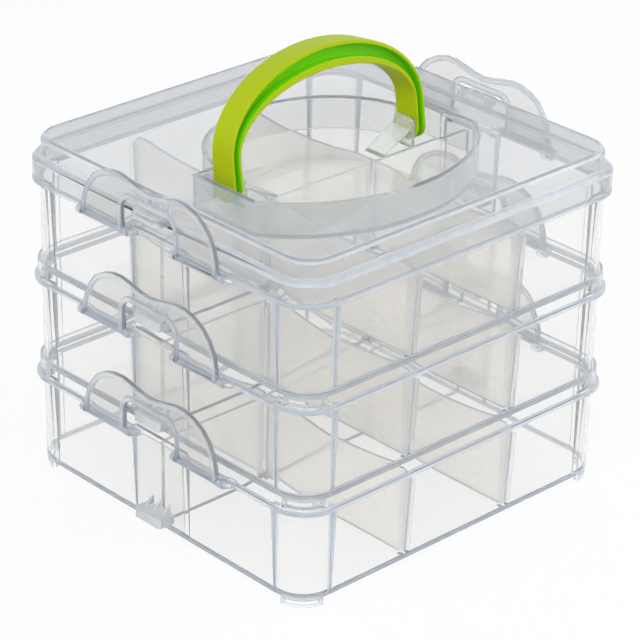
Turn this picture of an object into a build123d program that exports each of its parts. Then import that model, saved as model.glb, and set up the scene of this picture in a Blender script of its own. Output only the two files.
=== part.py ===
"""Three-tier clear storage organizer: stacked trays, lift-out dividers, snap latches, lid and handle.

Millimetres, +Z up. The origin is under the middle of the bottom tray, at the soles of its feet.
X runs between the two latched ends and Y between the two plain sides, front at -Y.
"""
from build123d import *
import math
import os

# Stack
tiers = 3
ledge_height = 39.8          # soles of a tray's feet to the ledge that carries the next tray
foot_height = 2.9
floor_thickness = 2.0

# Tray plan, measured at the floor
tray_length = 154.4
tray_width = 149.9
corner_radius = 12.4
corner_steps = 8             # short flats in each rounded corner
wall = 1.4
panel_margin = 13.5          # a flat panel starts this far from the virtual corner
panel_step_low = 0.2         # a panel stands proud of the corners, at the floor
panel_step_high = 2.2        # and at the ledge
channel_half = 13.4          # plain channel in the middle of a latched end
sole_step = 0.7              # the floor's underside is set in by this much, and as deep

# Ledge, collar and flange
flange_reach = 2.9
flange_thickness = 1.4
collar_height = 6.9
collar_clearance = 0.15      # round the foot of the tray above
collar_wall = 1.0
foot_inset = 0.3
foot_wall = 2.4
foot_span = 11.0

# Partition, dividers and their slots
partition_height = 33.7
partition_thickness = 1.5
partition_round = 3.0
divider_columns = 2
divider_spacing = 51.6
divider_thickness = 1.3
divider_height = 34.2
divider_sag = 2.4
divider_end_flat = 8.0
divider_gap = 0.35
divider_chamfer = 3.0
slot_clearance = 0.2
slot_rib_width = 1.1
slot_rib_depth = 2.0
slot_rib_height = 31.0

# Latch and its hinge
hinge_reach = 4.7            # hinge line beyond the tray's floor outline
hinge_drop = 0.7             # hinge line below the ledge, at the middle of the flange
rod_radius = 1.4
pin_radius = 0.8
pin_length = 1.4
pin_clearance = 0.2
eye_depth = 1.7
eye_wall = 0.4
eye_width = 2.3
pin_sides = 8
lug_gap = 0.25
lug_width = 4.4              # from the foot to where its taper meets the flange
lug_chamfer = 0.6
latch_thickness = 1.4
latch_rim = 2.0
latch_rim_proud = 0.6
latch_half_width = 36.4
latch_flank = (34.8, 9.0)    # out from the middle and up from the hinge line
latch_shoulder = (31.0, 15.4)
latch_brow = (25.0, 19.8)
latch_crest = (17.0, 21.7)
latch_slope = (8.5, 20.4)
latch_dip_up = 19.0
crown_steps = 20
window_half_width = 14.1
window_up = 13.5
window_radius = 5.0

# Catch that the latch snaps over
catch_half_width = 7.0
catch_rise = 7.3             # above the soles of the tray that carries it
catch_thickness = 4.0
catch_reach = 7.1            # beyond the tray's floor outline
catch_chamfer = 1.0
gusset_count = 3
gusset_spacing = 4.6
gusset_thickness = 1.0
gusset_size = 3.0

# Lid
skirt_gap = 0.3
skirt_wall = 0.85
skirt_headroom = 0.3
shoulder_thickness = 1.4
shoulder_bevel = 1.5
crown_inset = 0.5
crown_wall = 1.4
lid_height = 15.5
top_thickness = 1.5
top_bevel = 1.4

# Handle well in the lid
well_depth = 13.2
well_floor = 1.3
well_wall = 1.3
well_half_length = 53.7
well_front_axis = 61.0
well_front_depth = 49.5
well_back_axis = 44.5
well_back_depth = 39.0
pocket_back = 7.0
well_steps = 24
tab_thickness = 2.2
tab_half_width = 4.7
tab_rise = 11.0
tab_round = 1.6
seat_depth = 1.6             # blind seat in the tab for the handle's boss
brace_run = 15.0
brace_rise = 8.2
brace_thickness = 1.2

# Handle
pivot_drop = 6.1             # pivot line below the top of the lid
handle_half_span = 47.3
handle_width = 11.0
leg_thickness = 4.4
arch_start = 10.5
arch_rise = 31.8
grip_rise = 22.3
arch_steps = 24
groove_outer_rim = 1.2
groove_inner_rim = 1.1
groove_crown_outer = 1.8
groove_crown_inner = 3.0
web_thickness = 4.0
groove_end = 1.6             # above the rounded end of a leg
boss_radius = 3.2
boss_sides = 16
boss_length = 1.7
boss_clearance = 0.25
handle_side_gap = 0.3
handle_lean = 7.5            # degrees past upright, towards the back, at its stop

# Worked-out places
tier_pitch = ledge_height
half_length = tray_length / 2
half_width = tray_width / 2
floor_top = foot_height + floor_thickness
divider_x = [divider_spacing * (i - (divider_columns - 1) / 2) for i in range(divider_columns)]
hinge_x = half_length + hinge_reach
hinge_z = ledge_height - hinge_drop
eye_radius = pin_radius + pin_clearance
lug_radius = eye_radius + eye_wall
panel_lean = (panel_step_high - panel_step_low) / (ledge_height - foot_height)
collar_gap = panel_step_low + panel_lean * (collar_height - foot_height) + collar_clearance
collar_outer = collar_gap + collar_wall
lid_base = tiers * tier_pitch
lid_top = lid_base + lid_height
well_bottom = lid_top - well_depth
pivot_z = lid_top - pivot_drop
tab_outer = handle_half_span - leg_thickness - handle_side_gap


def rounded_block(grow, z_low, z_high):
    """Solid on the tray's floor outline, moved out by grow, with short flats round its corners."""
    points = []
    for quarter, (sx, sy) in enumerate(((1, 1), (-1, 1), (-1, -1), (1, -1))):
        for i in range(corner_steps + 1):
            turn = math.pi / 2 * (quarter + i / corner_steps)
            x = sx * (half_length - corner_radius) + (corner_radius + grow) * math.cos(turn)
            y = sy * (half_width - corner_radius) + (corner_radius + grow) * math.sin(turn)
            points.append((x, y))
    return Pos(0, 0, z_low) * extrude(make_face(Polyline(*points, close=True)), z_high - z_low)


def round_bar(radius, length, sides=pin_sides):
    """Small round bar along Z about the origin, with flats so that its many copies stay light."""
    return extrude(RegularPolygon(radius, sides), length / 2, both=True)


def half_oval(half_span, rise, steps):
    """Points along the upper half of an ellipse about the origin, from right to left."""
    turns = [math.pi * i / steps for i in range(steps + 1)]
    return [(half_span * math.cos(turn), rise * math.sin(turn)) for turn in turns]


def leaning_block(low, high, z_low, z_high, y_middle=0.0):
    """Straight block between two rectangles, each a length and a width, at two heights."""
    faces = [Pos(0, y_middle, z) * Rectangle(*size) for size, z in ((low, z_low), (high, z_high))]
    return loft(faces, ruled=True)


def wall_step(z):
    """How far a flat panel stands proud of the floor outline at height z."""
    return panel_step_low + panel_lean * (z - foot_height)


def tray_hull(inset, z_low, z_high):
    """Rounded corners and the proud flat panels, all moved in by inset."""
    hull = rounded_block(-inset, z_low, z_high)
    low = wall_step(z_low) - inset
    high = wall_step(z_high) - inset
    side_length = tray_length - 2 * panel_margin - 2 * inset
    hull += leaning_block(
        (side_length, tray_width + 2 * low), (side_length, tray_width + 2 * high), z_low, z_high
    )
    end_width = half_width - panel_margin - channel_half - 2 * inset
    end_middle = (half_width - panel_margin + channel_half) / 2
    for side in (-1, 1):
        hull += leaning_block(
            (tray_length + 2 * low, end_width), (tray_length + 2 * high, end_width),
            z_low, z_high, side * end_middle,
        )
    return hull


def ring(grow_inner, grow_outer, z_low, z_high):
    return rounded_block(grow_outer, z_low, z_high) - rounded_block(grow_inner, z_low, z_high)


def feet():
    """A short rib under each rounded corner."""
    rib = ring(-foot_inset - foot_wall, -foot_inset, 0, foot_height)
    reach = foot_span + foot_inset
    corners = Part()
    for sx in (-1, 1):
        for sy in (-1, 1):
            centre = Pos(sx * (half_length - reach / 2), sy * (half_width - reach / 2), foot_height / 2)
            corners += rib & (centre * Box(reach, reach, foot_height))
    return corners


def catch(root_x, base_z):
    """Ledge in the middle of an end, with gussets on top, that a latch snaps over."""
    tip_x = half_length + catch_reach
    block = Pos((root_x + tip_x) / 2, 0, base_z + catch_rise + catch_thickness / 2) * Box(
        tip_x - root_x, 2 * catch_half_width, catch_thickness
    )
    block = chamfer(block.edges().filter_by(Axis.Z).sort_by(Axis.X)[-2:], catch_chamfer)
    top = base_z + catch_rise + catch_thickness
    for i in range(gusset_count):
        y = gusset_spacing * (i - (gusset_count - 1) / 2)
        corner = Polyline(
            (root_x, 0, top), (root_x + wall + gusset_size, 0, top), (root_x + wall, 0, top + gusset_size),
            (root_x, 0, top + gusset_size), close=True,
        )
        gusset = extrude(make_face(corner), gusset_thickness / 2, both=True)
        block += Pos(0, y, 0) * gusset
    return block


def both_ends(piece):
    return piece + Rot(0, 0, 180) * piece


def hinge_lugs():
    """Tapered stubs on the ledge's edge, one on each side of a foot, each with a blind eye for a pin."""
    edge_x = half_length + flange_reach
    root_x = half_length - wall / 2
    back_x = hinge_x - lug_radius
    tip_x = hinge_x + lug_radius
    plan = Polyline(
        (root_x, 0), (tip_x, 0), (tip_x, eye_width), (edge_x, lug_width), (root_x, lug_width), close=True,
    )
    low_z = hinge_z - lug_radius
    stub = Pos(0, 0, low_z) * extrude(make_face(plan), ledge_height - low_z)
    top = Polyline((back_x, 0), (tip_x, 0), (tip_x, eye_width), (back_x, eye_width), close=True)
    stub += Pos(0, 0, low_z) * extrude(make_face(top), 2 * lug_radius)
    tips = stub.edges().filter_by(Axis.Y).group_by(Axis.X)[-1]
    stub = chamfer(tips, lug_chamfer)
    eye = round_bar(eye_radius, 2 * eye_depth)
    stub -= Pos(hinge_x, 0, hinge_z) * Rot(90, 0, 0) * eye
    outer = Pos(0, latch_half_width + lug_gap, 0) * stub
    inner = Pos(0, window_half_width - lug_gap, 0) * mirror(stub, Plane.XZ)
    pair = outer + inner
    return pair + mirror(pair, Plane.XZ)


def flange():
    """Ledge plate round the tray, cut away where the latches' feet turn."""
    z_low = ledge_height - flange_thickness
    plate = rounded_block(flange_reach, z_low, ledge_height)
    foot_middle = (window_half_width + latch_half_width) / 2
    foot_room = latch_half_width - window_half_width + 2 * lug_gap
    notch = Part()
    for side in (-1, 1):
        notch += Pos(half_length + panel_step_high + flange_reach, side * foot_middle, ledge_height) * Box(
            2 * flange_reach, foot_room, 6 * flange_thickness
        )
    middle_room = 2 * (window_half_width - lug_gap - lug_width)
    notch += Pos(half_length + collar_outer + flange_reach, 0, ledge_height) * Box(
        2 * flange_reach, middle_room, 6 * flange_thickness
    )
    return plate - both_ends(notch)


def slot_ribs(height):
    """Pairs of ribs that hold the dividers' ends, on both side walls and on the partition."""
    pitch = divider_thickness / 2 + slot_clearance + slot_rib_width / 2
    ribs = Part()
    wall_face = half_width + wall_step(floor_top) - wall
    for x in divider_x:
        for lean in (-1, 1):
            for side in (-1, 1):
                place = Pos(x + lean * pitch, 0, floor_top + height / 2)
                near = Pos(0, side * (partition_thickness / 2 + slot_rib_depth / 2), 0)
                far = Pos(0, side * (wall_face + wall - slot_rib_depth / 2), 0)
                ribs += place * near * Box(slot_rib_width, slot_rib_depth, height)
                ribs += place * far * Box(slot_rib_width, slot_rib_depth + 2 * wall, height)
    return ribs


def partition():
    """Fixed wall between the two latched ends."""
    plate = Pos(0, 0, floor_top + partition_height / 2) * Box(
        2 * (half_length - wall / 2), partition_thickness, partition_height
    )
    corners = plate.edges().filter_by(Axis.Y).group_by(Axis.Z)[-1]
    return fillet(corners, partition_round)


def make_tray():
    hull = tray_hull(0, foot_height + sole_step, ledge_height)
    hull += rounded_block(-sole_step, foot_height, foot_height + sole_step)
    hull += flange()
    cavity = tray_hull(wall, floor_top, ledge_height)
    inside = slot_ribs(slot_rib_height) + partition()
    tray = hull - cavity
    tray += inside & tray_hull(wall / 2, foot_height + floor_thickness / 2, ledge_height)
    tray += ring(collar_gap, collar_outer, ledge_height, ledge_height + collar_height)
    tray += feet()
    tray += both_ends(catch(half_length - wall / 2, 0))
    tray += both_ends(hinge_lugs())
    return tray


def make_divider():
    """Lift-out plate between the partition and the front wall, for the middle of the row."""
    near = partition_thickness / 2 + divider_gap
    low_end = half_width + wall_step(floor_top) - wall - divider_gap
    high_end = half_width + wall_step(floor_top + divider_height) - wall - divider_gap
    base = floor_top
    top = floor_top + divider_height
    middle = (near + high_end) / 2
    dip = [(high_end - divider_end_flat, top), (middle, top - divider_sag), (near + divider_end_flat, top)]
    outline = [
        Line((near, base), (low_end - divider_chamfer, base)),
        Line((low_end - divider_chamfer, base), (low_end, base + divider_chamfer / 2)),
        Line((low_end, base + divider_chamfer / 2), (high_end, top - divider_chamfer)),
        Line((high_end, top - divider_chamfer), (high_end - divider_chamfer, top)),
        Line((high_end - divider_chamfer, top), (high_end - divider_end_flat, top)),
        ThreePointArc(*dip),
        Line((near + divider_end_flat, top), (near, top)),
        Line((near, top), (near, base)),
    ]
    plate = Plane.YZ * make_face(Curve() + outline)
    return extrude(plate, divider_thickness / 2, both=True)


def latch_outline(inset=0.0):
    """Two-humped flap, drawn in the plane of the latch with its hinge line at 0, moved in by inset."""
    half = [(latch_half_width, 0.0), latch_flank, latch_shoulder, latch_brow, latch_crest, latch_slope]
    points = half + [(0.0, latch_dip_up)] + [(-out, up) for out, up in reversed(half)]
    crown = Spline(*points, tangents=((-0.1, 1.0), (-0.1, -1.0)))
    stations = []
    for i in range(crown_steps + 1):
        spot = crown @ (i / crown_steps)
        along = crown % (i / crown_steps)
        stations.append((spot.X - inset * along.Y, spot.Y + inset * along.X))
    return make_face(Polyline(*stations, close=True))


def latch_window(extra=0.0):
    half = window_half_width + extra
    top = window_up + extra
    frame = Pos(0, top / 2 - window_up / 2) * Rectangle(2 * half, top + window_up)
    corners = frame.vertices().group_by(Axis.Y)[-1]
    return fillet(corners, window_radius + extra)


def make_latch():
    """Flap with a raised rim, an arched window for the catch, and a rod with pins under each foot."""
    upright = Plane(origin=(0, 0, 0), x_dir=(0, 1, 0), z_dir=(1, 0, 0))
    thick = latch_thickness + latch_rim_proud
    flap = extrude(upright * latch_outline(), thick)
    pan = extrude(upright * latch_outline(latch_rim), thick)
    pan -= extrude(upright * latch_window(latch_rim), thick)
    flap -= Pos(latch_thickness, 0, 0) * pan
    flap -= extrude(upright * latch_window(), thick)
    flap = Pos(-latch_thickness / 2, 0, 0) * flap
    foot_middle = (window_half_width + latch_half_width) / 2
    foot_length = latch_half_width - window_half_width
    for side in (-1, 1):
        place = Pos(0, side * foot_middle, 0) * Rot(90, 0, 0)
        flap += place * round_bar(rod_radius, foot_length)
        flap += place * round_bar(pin_radius, foot_length + 2 * (lug_gap + pin_length))
    return flap


def well_outline(grow=0.0):
    """Plan of the handle well: deep round front, shallower back, and a pocket at each leg."""
    ends = well_half_length + grow
    front_axis = well_front_axis + grow
    front_depth = well_front_depth + grow
    back_axis = well_back_axis + grow
    back_depth = well_back_depth + grow
    front = make_face(Polyline(*half_oval(front_axis, -front_depth, well_steps), close=True))
    front &= Rectangle(2 * ends, 2 * front_depth)
    back = make_face(Polyline(*half_oval(back_axis, back_depth, well_steps), close=True))
    band = Pos(0, (pocket_back + grow) / 2) * Rectangle(2 * ends, pocket_back + grow)
    return front + back + band


def well_tab():
    """Ear that holds one end of the handle, with its brace down to the well's floor."""
    middle = tab_outer - tab_thickness / 2
    tab = Pos(middle, 0, well_bottom + tab_rise / 2) * Box(tab_thickness, 2 * tab_half_width, tab_rise)
    tab = fillet(tab.edges().filter_by(Axis.X).group_by(Axis.Z)[-1], tab_round)
    inner = tab_outer - tab_thickness
    foot = inner - brace_run
    slope = Polyline(
        (foot, 0, well_bottom), (inner, 0, well_bottom + brace_rise),
        (inner, 0, well_bottom + brace_rise - brace_thickness),
        (foot + brace_run * brace_thickness / brace_rise, 0, well_bottom), close=True,
    )
    tab += extrude(make_face(slope), tab_half_width, both=True)
    seat = round_bar(boss_radius + boss_clearance, 2 * seat_depth, boss_sides)
    return tab - Pos(tab_outer, 0, pivot_z) * Rot(0, 90, 0) * seat


def make_lid():
    skirt_inner = collar_outer + skirt_gap
    skirt_outer = skirt_inner + skirt_wall
    ceiling = lid_base + collar_height + skirt_headroom
    shoulder = rounded_block(skirt_outer, lid_base, ceiling + shoulder_thickness)
    shoulder = chamfer(shoulder.edges().group_by(Axis.Z)[-1], shoulder_bevel)
    crown = rounded_block(-crown_inset, ceiling, lid_top)
    crown = chamfer(crown.edges().group_by(Axis.Z)[-1], top_bevel)
    lid = shoulder + crown
    lid += both_ends(catch(half_length - crown_inset - crown_wall / 2, lid_base))
    lid -= rounded_block(skirt_inner, lid_base, ceiling)
    lid -= rounded_block(-crown_inset - crown_wall, lid_base, lid_top - top_thickness)
    bowl = Pos(0, 0, well_bottom - well_floor) * extrude(
        well_outline(well_wall), well_depth + well_floor - top_thickness / 2
    )
    lid += bowl
    lid -= Pos(0, 0, well_bottom) * extrude(well_outline(), 2 * well_depth)
    lid += both_ends(well_tab())
    return lid


def arch_face(half_span, rise, foot):
    """Upright arch: two straight legs and a half ellipse on top, closed along the foot."""
    top = [(x, arch_start + z) for x, z in half_oval(half_span, rise, arch_steps)]
    outline = [(half_span, foot)] + top + [(-half_span, foot)]
    return make_face(Polyline(*outline, close=True))


def make_handle():
    """Arched carrying handle of I section, leaning back on its stop."""
    upright = Plane.XZ
    sole = -handle_width / 2
    inner_span = handle_half_span - leg_thickness
    arch = arch_face(handle_half_span, arch_rise, sole) - arch_face(inner_span, grip_rise, 2 * sole)
    groove_foot = sole + groove_end
    groove = arch_face(handle_half_span - groove_outer_rim, arch_rise - groove_crown_outer, groove_foot)
    groove -= arch_face(inner_span + groove_inner_rim, grip_rise + groove_crown_inner, sole)
    body = extrude(upright * arch, handle_width / 2, both=True)
    side_view = Circle(handle_width / 2) + Pos(0, arch_rise) * Rectangle(handle_width, 2 * arch_rise)
    body &= extrude(Plane.YZ * side_view, handle_half_span, both=True)
    depth = (handle_width - web_thickness) / 2
    for side in (-1, 1):
        cut = extrude(upright * groove, depth / 2, both=True)
        body -= Pos(0, side * (web_thickness + depth) / 2, 0) * cut
    for side in (-1, 1):
        boss = round_bar(boss_radius, boss_length, boss_sides)
        body += Pos(side * (inner_span - boss_length / 2), 0, 0) * Rot(0, 90, 0) * boss
    return Pos(0, 0, pivot_z) * Rot(-handle_lean, 0, 0) * body


def write(name, shape):
    export_step(shape, os.path.join("parts", name + ".step"))
    solids = shape.solids()
    print(f"{name}: {len(solids)} solid, {sum(s.volume for s in solids) / 1000:.1f} cm3")


def main():
    os.makedirs("parts", exist_ok=True)
    tray = make_tray()
    divider = make_divider()
    latch = make_latch()
    for tier in range(tiers):
        lift = tier * tier_pitch
        write(f"tray_{tier + 1}", Pos(0, 0, lift) * tray)
        count = 0
        for turn in (0, 180):
            for x in divider_x:
                count += 1
                plate = Pos(0, 0, lift) * Rot(0, 0, turn) * Pos(x, 0, 0) * divider
                write(f"tray_{tier + 1}_divider_{count}", plate)
        for side, turn in (("right", 0), ("left", 180)):
            flap = Rot(0, 0, turn) * Pos(hinge_x, 0, lift + hinge_z) * latch
            write(f"latch_{tier + 1}_{side}", flap)
    write("lid", make_lid())
    write("handle", make_handle())
    print(f"lid top {lid_top:.2f}, pivot {pivot_z:.2f}, hinge x {hinge_x:.2f} z {hinge_z:.2f}")


main()
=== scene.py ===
"""Three-tier storage organizer: clear trays and dividers, snap latches, frosted lid and green handle."""
import bpy
import bmesh
import math
from mathutils import Matrix, Vector


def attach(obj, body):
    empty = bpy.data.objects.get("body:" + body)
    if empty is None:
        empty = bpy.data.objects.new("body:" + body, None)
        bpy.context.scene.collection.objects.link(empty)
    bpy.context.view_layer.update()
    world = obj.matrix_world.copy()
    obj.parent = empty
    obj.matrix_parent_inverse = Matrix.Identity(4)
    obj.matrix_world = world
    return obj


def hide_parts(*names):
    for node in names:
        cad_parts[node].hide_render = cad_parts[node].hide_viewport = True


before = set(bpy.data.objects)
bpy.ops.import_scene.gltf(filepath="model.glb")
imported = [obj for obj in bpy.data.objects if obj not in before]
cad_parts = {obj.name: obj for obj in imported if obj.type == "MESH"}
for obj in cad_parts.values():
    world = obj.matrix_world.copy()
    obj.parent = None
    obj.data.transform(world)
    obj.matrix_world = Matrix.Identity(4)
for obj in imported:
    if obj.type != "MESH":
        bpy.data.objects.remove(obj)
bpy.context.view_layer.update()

MM = 0.001
TIERS = 3
DIVIDERS = 4

# Rounding of the moulded edges, and what counts as one point, as flat and as an edge
WALL_ROUND_MM = 0.3          # trays, dividers and latches
LID_ROUND_MM = 0.4
HANDLE_ROUND_MM = 0.45
MERGE_MM = 0.002
FLAT_DEGREES = 1.0
SHARP_DEGREES = 28.0
FLAT_WEIGHT = 60             # how strongly the large faces stay flat under smooth shading

# Cosine above which a face looks along an axis, and those between which it slopes
FACING = 0.9
SLOPING = (0.3, 0.95)

# Widest face taken for an edge, and widest bevel of the lid
NARROW_MM = 1.15
BEVEL_MM = 2.3

# Trays: from one tier to the next, the floor's underside, and how far up the floor's edge shows
TIER_MM = 39.8
SOLE_MM = 2.9
SOLE_MARGIN_MM = 0.05
FLOOR_SEEN_MM = 5.5
SEEN_MARGIN_MM = 0.1

# Slot ribs: the divider's line, how far the ribs reach to each side of it, and how deep they are
DIVIDER_LINE_MM = 25.8
RIB_REACH_MM = 2.1
RIB_DEPTH_MM = 4.0

# Channel in a latched end of a tray
CHANNEL_FROM_MM = 75.2
CHANNEL_HALF_MM = 14.2

# Catches of the trays and the lid, with their gussets
CATCH_FROM_MM = 77.0
CATCH_HALF_MM = 7.2

# Latch: how far out its raised rim starts
RIM_FROM_MM = 82.65

# Lid: the ears that hold the handle, and the well's floor
EAR_FROM_MM = 24.5
EAR_TO_MM = 43.0
EAR_HALF_MM = 5.0
EAR_FOOT_MM = 121.65
WELL_FLOOR_MM = (120.2, 121.9)

# Handle, as in the CAD source
HANDLE_LEAN = 7.5
HANDLE_PIVOT_MM = 128.8
HANDLE_EDGE_MM = 5.4
GROOVE_FLOOR_MM = 3.0
GROOVE_FLANK_MM = 1.8
GROOVE_HALF_SPAN_MM = 46.1
GROOVE_RISE_MM = 30.0
GROOVE_MARGIN = 1.005
GRIP_HALF_SPAN_MM = 42.9
GRIP_RISE_MM = 22.3
GRIP_MARGIN = 1.02
ARCH_START_MM = 10.5

# Plastics
PLASTIC_IOR = 1.2
RIB_IOR = 1.05               # the thin slot ribs hardly bend the light
MILK_IOR = 1.49
MILK_ROUGHNESS = 0.3
# Bluish grey of the haze at grazing angles: partly milky plastic, partly painted shade for the darker edge
# lines
GRAZING_SHADE_TINT = (0.64, 0.69, 0.74, 1)
SHADOW_LEAK = 0.8            # share of the lamps' light that passes the clear walls
GRAZING_BLEND = 0.3
GRAZING_POWER = 3.0          # keeps the edge haze to the steepest angles
GRAIN_ROUGHNESS = 0.04
HAZE_LEAST = 0.8             # the haze runs from this share of its value, by the grain
HAZE_SPREAD = 0.4
SWIRL_SCALE = 22.0           # slow waves that moulding leaves in a wall
BUMP_DEPTH = 0.0002

# Each clear plastic, some of them painting the shade and highlight of edges: the tint of the light that
# passes, the milky part as it looks on screen, the share of that part straight on and at grazing angles,
# the roughness, the strength of the waves and the fineness of the grain
FINISHES = {
    "clear tray plastic": {
        "tint": (0.992, 0.99, 0.984), "milky": (222, 221, 219), "haze": 0.036, "edge_haze_and_shade": 0.80,
        "roughness": 0.02, "waves": 0.02, "grain_scale": 300.0,
    },
    "satin channel plastic": {
        "tint": (0.975, 0.972, 0.965), "milky": (198, 198, 196), "haze": 0.19, "edge_haze_and_shade": 0.60,
        "roughness": 0.05, "waves": 0.01, "grain_scale": 400.0,
    },
    "milky catch plastic": {
        "tint": (0.97, 0.972, 0.975), "milky": (208, 211, 213), "haze": 0.50, "edge_haze_and_shade": 0.35,
        "roughness": 0.10, "waves": 0.02, "grain_scale": 300.0,
    },
    "satin ear plastic": {
        "tint": (0.975, 0.98, 0.97), "milky": (226, 230, 222), "haze": 0.32, "edge_haze_and_shade": 0.60,
        "roughness": 0.14, "waves": 0.03, "grain_scale": 200.0,
    },
    "satin divider plastic": {
        "tint": (0.985, 0.982, 0.972), "milky": (254, 249, 240), "haze": 0.30, "edge_haze_and_shade": 0.60,
        "roughness": 0.12, "waves": 0.05, "grain_scale": 500.0,
    },
    "clear latch plastic": {
        "tint": (0.955, 0.952, 0.945), "milky": (190, 190, 189), "haze": 0.18, "edge_haze_and_shade": 0.70,
        "roughness": 0.04, "waves": 0.03, "grain_scale": 300.0,
    },
    # Bluish haze on the raised rim: painted shade and highlight of the bead
    "latch plastic with painted rim shading": {
        "tint": (0.95, 0.96, 0.97), "milky": (194, 201, 207), "haze": 0.42, "edge_haze_and_shade": 0.50,
        "roughness": 0.04, "waves": 0.03, "grain_scale": 300.0,
    },
    "frosted lid plastic": {
        "tint": (0.952, 0.951, 0.95), "milky": (174, 177, 181), "haze": 0.19, "edge_haze_and_shade": 0.75,
        "roughness": 0.02, "waves": 0.015, "grain_scale": 500.0,
    },
    "well floor plastic": {
        "tint": (0.97, 0.97, 0.962), "milky": (212, 212, 208), "haze": 0.11, "edge_haze_and_shade": 0.60,
        "roughness": 0.03, "waves": 0.02, "grain_scale": 500.0,
    },
    # Bluish grey on narrow faces and the floor's edge: partly milky moulded edges, partly painted shade for
    # the lines that refraction draws there
    "milky plastic with painted edge shade": {
        "tint": (0.97, 0.975, 0.98), "milky": (190, 198, 208), "haze": 0.52, "edge_haze_and_shade": 0.45,
        "roughness": 0.04, "waves": 0.02, "grain_scale": 300.0,
    },
    # Darker bluish grey: painted shade lines along the latch's narrow faces
    "latch plastic with painted edge shade": {
        "tint": (0.95, 0.96, 0.97), "milky": (160, 171, 183), "haze": 0.50, "edge_haze_and_shade": 0.50,
        "roughness": 0.04, "waves": 0.02, "grain_scale": 300.0,
    },
    # Lighter than the lid: milky edges with a painted highlight along the lid's bevels
    "frosted plastic with painted edge highlight": {
        "tint": (0.98, 0.985, 0.99), "milky": (204, 210, 217), "haze": 0.36, "edge_haze_and_shade": 0.40,
        "roughness": 0.04, "waves": 0.02, "grain_scale": 300.0,
    },
    "slot rib plastic": {
        "tint": (0.99, 0.99, 0.99), "milky": (214, 217, 221), "haze": 0.12, "edge_haze_and_shade": 0.30,
        "roughness": 0.02, "waves": 0.02, "grain_scale": 300.0, "ior": RIB_IOR,
    },
}

# Handle plastic: its own greens outside, and darker greens that paint the shade inside the grooves, each
# between two tones as they look on screen
OUTER_GREENS = ((164, 184, 0), (174, 192, 4))
GROOVE_SHADE_GREENS = ((108, 200, 0), (118, 208, 0))
HANDLE_IOR = 1.48
HANDLE_GLOSS = 0.15
HANDLE_ROUGHNESS = 0.38
HANDLE_GRAIN = 0.08          # how much the grain adds to the roughness
HANDLE_GRAIN_SCALE = 900.0
HANDLE_GRAIN_HEIGHT = 0.12
HANDLE_TONE_SCALE = 30.0

# Camera, as fitted to the photo
CAMERA_AZIMUTH = -43.60
CAMERA_ELEVATION = 26.69
CAMERA_ROLL = 1.19
CAMERA_DISTANCE = 1.1194
CAMERA_TARGET = (0.0, 0.0, 0.06188)
CAMERA_LENS = 169.49
CAMERA_SENSOR = 36
CAMERA_SHIFT_X = 0.0013
CAMERA_REACH = 50

# Studio: floor, sky by height, and softboxes by place, size and power
FLOOR_SIZE = 12
FLOOR_COLOUR = (0.93, 0.93, 0.935, 1)
FLOOR_WHITE = 0.85           # share of plain white where the floor is seen
SKY = (
    (0.0, (1.0, 1.0, 1.0, 1)),
    (0.45, (1.0, 1.0, 1.0, 1)),
    (0.75, (0.52, 0.56, 0.62, 1)),
    (1.0, (0.42, 0.47, 0.54, 1)),
)
SOFTBOXES = (
    ("key softbox", (-0.7, -0.5, 1.1), (0.6, 0.6), 7.0),
    ("side softbox", (0.9, -0.5, 0.6), (0.4, 0.6), 3.0),
)
SOFTBOX_TARGET = (0, 0, 0.06)
CLEAR_BOUNCES = 32           # a ray crosses many walls of the stack
SOFT_BOUNCES = 12


class Value:
    """One socket of a material, so that shader maths reads as plain arithmetic."""

    def __init__(self, nodes, socket):
        self.nodes = nodes
        self.socket = socket

    def _maths(self, operation, first, second):
        return self.nodes.add("ShaderNodeMath", {"operation": operation}, {0: first, 1: second})

    def __add__(self, other):
        return self._maths("ADD", self, other)

    def __radd__(self, other):
        return self._maths("ADD", other, self)

    def __mul__(self, other):
        return self._maths("MULTIPLY", self, other)

    def __rmul__(self, other):
        return self._maths("MULTIPLY", other, self)

    def __pow__(self, other):
        return self._maths("POWER", self, other)

    def __rpow__(self, other):
        return self._maths("POWER", other, self)


class Nodes:
    """The node tree of one material, or of the world."""

    def __init__(self, owner):
        owner.use_nodes = True
        self.owner = owner
        self.tree = owner.node_tree
        self.tree.nodes.clear()

    def add(self, kind, settings=None, inputs=None, output=0):
        """A node of that type, its settings first, then the values or links of its sockets."""
        node = self.tree.nodes.new(kind)
        for name, value in (settings or {}).items():
            if name == "stops":
                ramp = node.color_ramp
                while len(ramp.elements) < len(value):
                    ramp.elements.new(1.0)
                for element, (place, colour) in zip(ramp.elements, value):
                    element.position = place
                    element.color = colour
            else:
                setattr(node, name, value)
        for name, value in (inputs or {}).items():
            socket = node.inputs[name]
            if isinstance(value, Value):
                self.tree.links.new(value.socket, socket)
            else:
                socket.default_value = value
        return Value(self, node.outputs[output])

    def mix_colours(self, factor, first, second):
        """A Mix node, whose colours are its inputs 6 and 7 and its output 2."""
        colours = {0: factor, 6: first, 7: second}
        return self.add("ShaderNodeMix", {"data_type": "RGBA"}, colours, output=2)

    def mix_shaders(self, factor, first, second):
        """A Mix Shader, which shows the second shader by the factor."""
        return self.add("ShaderNodeMixShader", {}, {0: factor, 1: first, 2: second})

    def finish(self, shader, kind="ShaderNodeOutputMaterial"):
        output = self.tree.nodes.new(kind)
        self.tree.links.new(shader.socket, output.inputs["Surface"])
        return self.owner


def linear(red, green, blue):
    """A colour given as it looks on screen, 0 to 255, in linear values, by the sRGB formula."""
    values = []
    for level in (red, green, blue):
        level /= 255
        values.append(level / 12.92 if level <= 0.04045 else ((level + 0.055) / 1.055) ** 2.4)
    return (*values, 1)


def noise(nodes, place, scale, detail=2.0):
    """A soft random pattern between 0 and 1."""
    return nodes.add("ShaderNodeTexNoise", {}, {"Vector": place, "Scale": scale, "Detail": detail})


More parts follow.
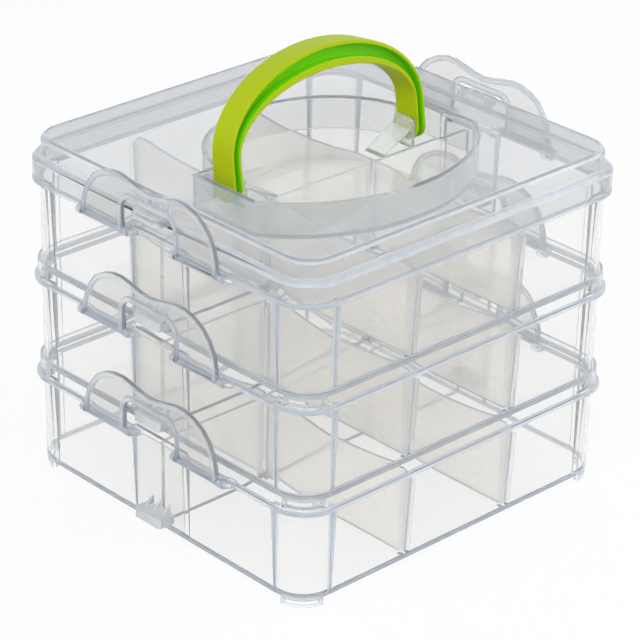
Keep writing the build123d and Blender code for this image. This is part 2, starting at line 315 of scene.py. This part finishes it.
def clear_plastic(name, tint, milky, haze, edge_haze_and_shade, roughness, waves, grain_scale, ior=PLASTIC_IOR):
    """Moulded polypropylene: see-through, with a milky haze that gathers at grazing angles, where its
    bluish grey is painted shade for the edge lines.
    """
    nodes = Nodes(bpy.data.materials.new(name))
    place = nodes.add("ShaderNodeTexCoord", output="Object")
    grain = noise(nodes, place, grain_scale, detail=3.0)
    swirl = noise(nodes, place, SWIRL_SCALE)
    bump = nodes.add("ShaderNodeBump", {}, {"Strength": waves, "Distance": BUMP_DEPTH, "Height": swirl})
    grazing = nodes.add("ShaderNodeLayerWeight", {}, {"Blend": GRAZING_BLEND}, output="Facing")
    glass = nodes.add("ShaderNodeBsdfPrincipled", {}, {
        "Base Color": (*tint, 1),
        "Roughness": roughness + GRAIN_ROUGHNESS * grain,
        "IOR": ior,
        "Transmission Weight": 1.0,
        "Normal": bump,
    })
    milk = milk_shader(nodes, linear(*milky), bump)
    grazing_milk_and_shade = milk_shader(nodes, GRAZING_SHADE_TINT, bump)
    face = nodes.mix_shaders(haze * (HAZE_LEAST + HAZE_SPREAD * grain), glass, milk)
    # the haze at grazing angles, in a bluish grey that paints the shade of the edge lines
    body = nodes.mix_shaders(edge_haze_and_shade * grazing ** GRAZING_POWER, face, grazing_milk_and_shade)
    shadow = nodes.add("ShaderNodeLightPath", output="Is Shadow Ray")
    clear = nodes.add("ShaderNodeBsdfTransparent", {}, {"Color": (1, 1, 1, 1)})
    return nodes.finish(nodes.mix_shaders(SHADOW_LEAK * shadow, body, clear))


def milk_shader(nodes, colour, bump):
    """The milky part of a clear plastic."""
    return nodes.add("ShaderNodeBsdfPrincipled", {}, {
        "Base Color": colour,
        "Roughness": MILK_ROUGHNESS,
        "IOR": MILK_IOR,
        "Normal": bump,
    })


def handle_plastic(name, greens):
    """Opaque yellow-green plastic with a satin gloss and a faint moulding grain."""
    nodes = Nodes(bpy.data.materials.new(name))
    place = nodes.add("ShaderNodeTexCoord", output="Object")
    grain = noise(nodes, place, HANDLE_GRAIN_SCALE)
    tone = noise(nodes, place, HANDLE_TONE_SCALE)
    bump = nodes.add("ShaderNodeBump", {}, {
        "Strength": HANDLE_GRAIN_HEIGHT, "Distance": BUMP_DEPTH, "Height": grain,
    })
    first, second = greens
    return nodes.finish(nodes.add("ShaderNodeBsdfPrincipled", {}, {
        "Base Color": nodes.mix_colours(tone, linear(*first), linear(*second)),
        "Roughness": HANDLE_ROUGHNESS + HANDLE_GRAIN * grain,
        "IOR": HANDLE_IOR,
        "Specular IOR Level": HANDLE_GLOSS,
        "Normal": bump,
    }))


def select_only(obj):
    bpy.ops.object.select_all(action="DESELECT")
    obj.select_set(True)
    bpy.context.view_layer.objects.active = obj


def apply_modifiers(obj):
    select_only(obj)
    for modifier in list(obj.modifiers):
        bpy.ops.object.modifier_apply(modifier=modifier.name)


def rounded_copy(node, name, round_mm, segments=2, cut_mm=None):
    """A merged copy of a CAD piece with its sharp edges rounded, which then stands for the piece."""
    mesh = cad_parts[node].data.copy()
    piece = bpy.data.objects.new(name, mesh)
    bpy.context.scene.collection.objects.link(piece)
    work = bmesh.new()
    work.from_mesh(mesh)
    bmesh.ops.remove_doubles(work, verts=work.verts, dist=MERGE_MM * MM)
    flat = math.radians(FLAT_DEGREES)
    bmesh.ops.dissolve_limit(work, angle_limit=flat, verts=work.verts, edges=work.edges, delimit={"NORMAL"})
    work.to_mesh(mesh)
    work.free()
    select_only(piece)
    bevel = piece.modifiers.new("edge rounding", "BEVEL")
    bevel.width = round_mm * MM
    bevel.segments = segments
    bevel.limit_method = "ANGLE"
    bevel.angle_limit = math.radians(SHARP_DEGREES)
    bevel.use_clamp_overlap = False
    apply_modifiers(piece)
    if cut_mm is not None:
        cut_level(piece, cut_mm)
    smooth(piece)
    return piece


def cut_level(piece, height_mm):
    """Parts the faces at a height, so that what lies below it can have its own finish."""
    select_only(piece)
    bpy.ops.object.mode_set(mode="EDIT")
    bpy.ops.mesh.select_all(action="SELECT")
    bpy.ops.mesh.bisect(plane_co=(0, 0, height_mm * MM), plane_no=(0, 0, 1))
    bpy.ops.object.mode_set(mode="OBJECT")


def smooth(piece):
    """Smooth shading that keeps the large faces flat."""
    select_only(piece)
    bpy.ops.object.shade_smooth()
    weighted = piece.modifiers.new("flat faces", "WEIGHTED_NORMAL")
    weighted.mode = "FACE_AREA"
    weighted.weight = FLAT_WEIGHT
    apply_modifiers(piece)


def finish_piece(piece, node, body, material):
    """Gives a piece its main finish and its body, and hides the CAD node it stands for."""
    piece.data.materials.clear()
    piece.data.materials.append(material)
    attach(piece, body)
    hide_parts(node)


def paint(piece, material, chosen):
    """A second material on the faces for which chosen(low, high, face) is true: a finish of its own, or
    painted shade and highlight.

    low and high are the corners of the face's box in millimetres.
    """
    piece.data.materials.append(material)
    index = len(piece.data.materials) - 1
    vertices = piece.data.vertices
    for face in piece.data.polygons:
        corners = [vertices[i].co / MM for i in face.vertices]
        low = Vector([min(values) for values in zip(*corners)])
        high = Vector([max(values) for values in zip(*corners)])
        if chosen(low, high, face):
            face.material_index = index


def face_width_mm(face):
    """How wide a face is, taken as a rectangle of the same area and outline."""
    mesh = face.id_data
    corners = [mesh.vertices[i].co for i in face.vertices]
    half_round = sum((a - b).length for a, b in zip(corners, corners[1:] + corners[:1])) / 2 / MM
    area = face.area / MM ** 2
    return (half_round - math.sqrt(max(half_round ** 2 - 4 * area, 0.0))) / 2


def is_narrow(low, high, face):
    """A rounded edge, a step or the end of a wall."""
    return face_width_mm(face) < NARROW_MM


def in_floor_edge(low, high, face):
    """The outside of a tray's floor, or a narrow face, where the shade of the edge lines is painted."""
    level = low.z % TIER_MM
    above_sole = level > SOLE_MM - SOLE_MARGIN_MM
    below_cut = level + high.z - low.z < FLOOR_SEEN_MM + SEEN_MARGIN_MM
    upright = abs(face.normal.z) < FACING
    return above_sole and below_cut and upright or is_narrow(low, high, face)


def in_slot_rib(low, high, face):
    """The pairs of ribs that hold a divider."""
    line = math.copysign(DIVIDER_LINE_MM, low.x)
    beside = low.x > line - RIB_REACH_MM and high.x < line + RIB_REACH_MM
    return beside and high.y - low.y < RIB_DEPTH_MM


def in_channel(low, high, face):
    """The plain channel in a latched end of a tray."""
    at_end = low.x > CHANNEL_FROM_MM or high.x < -CHANNEL_FROM_MM
    return at_end and low.y > -CHANNEL_HALF_MM and high.y < CHANNEL_HALF_MM


def in_catch(low, high, face):
    """A catch with its gussets."""
    at_end = low.x > CATCH_FROM_MM or high.x < -CATCH_FROM_MM
    return at_end and low.y > -CATCH_HALF_MM and high.y < CATCH_HALF_MM


def in_latch_rim(low, high, face):
    """The raised rim's face and both of its flanks, where the bead's shade and highlight are painted."""
    return low.x > RIM_FROM_MM or high.x < -RIM_FROM_MM


def in_lid_edge(low, high, face):
    """The lid's bevels and its narrow faces, which carry a painted highlight."""
    sloping = SLOPING[0] < abs(face.normal.z) < SLOPING[1]
    return is_narrow(low, high, face) or sloping and face_width_mm(face) < BEVEL_MM


def in_ear(low, high, face):
    """The ears that hold the handle, and their braces."""
    at_right = low.x > EAR_FROM_MM and high.x < EAR_TO_MM
    at_left = high.x < -EAR_FROM_MM and low.x > -EAR_TO_MM
    return (at_right or at_left) and low.y > -EAR_HALF_MM and high.y < EAR_HALF_MM and low.z > EAR_FOOT_MM


def in_well_floor(low, high, face):
    """Both sides of the well's floor."""
    return abs(face.normal.z) > FACING and low.z > WELL_FLOOR_MM[0] and high.z < WELL_FLOOR_MM[1]


def in_groove(low, high, face):
    """Inside the handle's grooves, where the shade is painted: the web, and the flanks that look across a
    groove.
    """
    lean = Matrix.Rotation(math.radians(HANDLE_LEAN), 4, "X")
    spot = lean @ ((low + high) / 2 - Vector((0, 0, HANDLE_PIVOT_MM)))
    turned = lean @ face.normal
    if abs(turned.y) > FACING:
        return abs(spot.y) < GROOVE_FLOOR_MM
    if not GROOVE_FLANK_MM < abs(spot.y) < HANDLE_EDGE_MM:
        return False
    up = max(spot.z - ARCH_START_MM, 0.0)
    outer = math.hypot(spot.x / GROOVE_HALF_SPAN_MM, up / GROOVE_RISE_MM)
    inner = math.hypot(spot.x / GRIP_HALF_SPAN_MM, up / GRIP_RISE_MM)
    return outer < GROOVE_MARGIN and inner > GRIP_MARGIN


def build_tier(tier, finishes):
    """One tray with its dividers and its two latches."""
    tray = f"tray_{tier}"
    floor_seen = (tier - 1) * TIER_MM + FLOOR_SEEN_MM
    piece = rounded_copy(tray, f"{tray}_shell", WALL_ROUND_MM, cut_mm=floor_seen)
    finish_piece(piece, tray, tray, finishes["clear tray plastic"])
    paint(piece, finishes["satin channel plastic"], in_channel)
    # painted shade lines along the floor's edge and the narrow faces
    paint(piece, finishes["milky plastic with painted edge shade"], in_floor_edge)
    paint(piece, finishes["slot rib plastic"], in_slot_rib)
    paint(piece, finishes["milky catch plastic"], in_catch)
    for number in range(1, DIVIDERS + 1):
        node = f"{tray}_divider_{number}"
        piece = rounded_copy(node, f"{node}_plate", WALL_ROUND_MM)
        finish_piece(piece, node, tray, finishes["satin divider plastic"])
        # painted shade lines along the dividers' edges
        paint(piece, finishes["milky plastic with painted edge shade"], is_narrow)
    for side in ("right", "left"):
        node = f"latch_{tier}_{side}"
        piece = rounded_copy(node, f"{node}_flap", WALL_ROUND_MM)
        finish_piece(piece, node, node, finishes["clear latch plastic"])
        # painted shade and highlight of the raised rim
        paint(piece, finishes["latch plastic with painted rim shading"], in_latch_rim)
        # painted shade lines along the latch's edges
        paint(piece, finishes["latch plastic with painted edge shade"], is_narrow)


def build_lid(finishes):
    """The lid, with its ears, its catches and its well."""
    piece = rounded_copy("lid", "lid_shell", LID_ROUND_MM)
    finish_piece(piece, "lid", "lid", finishes["frosted lid plastic"])
    # painted highlight along the lid's bevels and narrow faces
    paint(piece, finishes["frosted plastic with painted edge highlight"], in_lid_edge)
    paint(piece, finishes["milky catch plastic"], in_catch)
    paint(piece, finishes["satin ear plastic"], in_ear)
    paint(piece, finishes["well floor plastic"], in_well_floor)


def build_handle():
    """The carrying handle, with the shade inside its grooves painted as a darker green."""
    piece = rounded_copy("handle", "handle_grip", HANDLE_ROUND_MM, segments=3)
    outer_green = handle_plastic("green handle plastic", OUTER_GREENS)
    groove_shade_green = handle_plastic("green plastic with painted groove shade", GROOVE_SHADE_GREENS)
    finish_piece(piece, "handle", "handle", outer_green)
    # painted shade: the same plastic in a darker green inside the grooves
    paint(piece, groove_shade_green, in_groove)


def build_pieces():
    """All the clear plastics, painted edges among them, and then the pieces from the bottom tray up."""
    finishes = {name: clear_plastic(name, **values) for name, values in FINISHES.items()}
    for tier in range(1, TIERS + 1):
        build_tier(tier, finishes)
    build_lid(finishes)
    build_handle()


def floor_material():
    """Pale floor that looks plain white and keeps the object's shadow.

    The white shows to rays of the camera and to those that gloss or clear plastic pass on.
    """
    nodes = Nodes(bpy.data.materials.new("pale floor"))
    diffuse = nodes.add("ShaderNodeBsdfDiffuse", {}, {"Color": FLOOR_COLOUR})
    white = nodes.add("ShaderNodeEmission", {}, {"Color": (1, 1, 1, 1), "Strength": 1.0})
    camera, glossy, passed = [
        nodes.add("ShaderNodeLightPath", output=kind)
        for kind in ("Is Camera Ray", "Is Glossy Ray", "Is Transmission Ray")
    ]
    seen = nodes.add("ShaderNodeClamp", {}, {"Value": camera + glossy + passed})
    return nodes.finish(nodes.mix_shaders(FLOOR_WHITE * seen, diffuse, white))


def build_stage():
    """The floor and the sky of a plain studio."""
    bpy.ops.object.select_all(action="DESELECT")
    bpy.ops.mesh.primitive_plane_add(size=FLOOR_SIZE, location=(0, 0, 0))
    floor = bpy.context.object
    floor.name = "floor"
    floor.data.materials.append(floor_material())
    world = bpy.data.worlds.new("studio")
    bpy.context.scene.world = world
    nodes = Nodes(world)
    way = nodes.add("ShaderNodeTexCoord", output="Generated")
    height = nodes.add("ShaderNodeSeparateXYZ", {}, {"Vector": way}, output="Z")
    sky = nodes.add("ShaderNodeValToRGB", {"stops": SKY}, {0: height})
    background = nodes.add("ShaderNodeBackground", {}, {"Color": sky, "Strength": 1.0})
    nodes.finish(background, "ShaderNodeOutputWorld")


def build_softbox(name, place, size, power):
    """A rectangular lamp that looks at the middle of the stack."""
    lamp = bpy.data.lights.new(name, "AREA")
    lamp.shape = "RECTANGLE"
    lamp.size, lamp.size_y = size
    lamp.energy = power
    obj = bpy.data.objects.new(name, lamp)
    obj.location = place
    obj.rotation_euler = (Vector(place) - Vector(SOFTBOX_TARGET)).to_track_quat("Z", "Y").to_euler()
    bpy.context.scene.collection.objects.link(obj)


def build_camera():
    """The camera, turned round the stack, raised and then rolled about its own line of sight."""
    azimuth = math.radians(CAMERA_AZIMUTH)
    elevation = math.radians(CAMERA_ELEVATION)
    roll = math.radians(CAMERA_ROLL)
    back = Vector((
        math.sin(azimuth) * math.cos(elevation),
        -math.cos(azimuth) * math.cos(elevation),
        math.sin(elevation),
    ))
    right = Vector((math.cos(azimuth), math.sin(azimuth), 0))
    up = back.cross(right)
    rolled_right = right * math.cos(roll) + up * math.sin(roll)
    rolled_up = up * math.cos(roll) - right * math.sin(roll)
    camera = bpy.data.cameras.new("camera")
    camera.lens = CAMERA_LENS
    camera.sensor_width = CAMERA_SENSOR
    camera.shift_x = CAMERA_SHIFT_X
    camera.clip_end = CAMERA_REACH
    obj = bpy.data.objects.new("camera", camera)
    place = Vector(CAMERA_TARGET) + back * CAMERA_DISTANCE
    turn = Matrix((rolled_right, rolled_up, back)).transposed().to_4x4()
    obj.matrix_world = Matrix.Translation(place) @ turn
    bpy.context.scene.collection.objects.link(obj)
    bpy.context.scene.camera = obj


build_pieces()
build_stage()
for softbox in SOFTBOXES:
    build_softbox(*softbox)
build_camera()

scene = bpy.context.scene
scene.view_settings.view_transform = "Standard"
scene.cycles.max_bounces = CLEAR_BOUNCES
scene.cycles.diffuse_bounces = SOFT_BOUNCES
scene.cycles.glossy_bounces = SOFT_BOUNCES
scene.cycles.transmission_bounces = CLEAR_BOUNCES
scene.cycles.transparent_max_bounces = CLEAR_BOUNCES
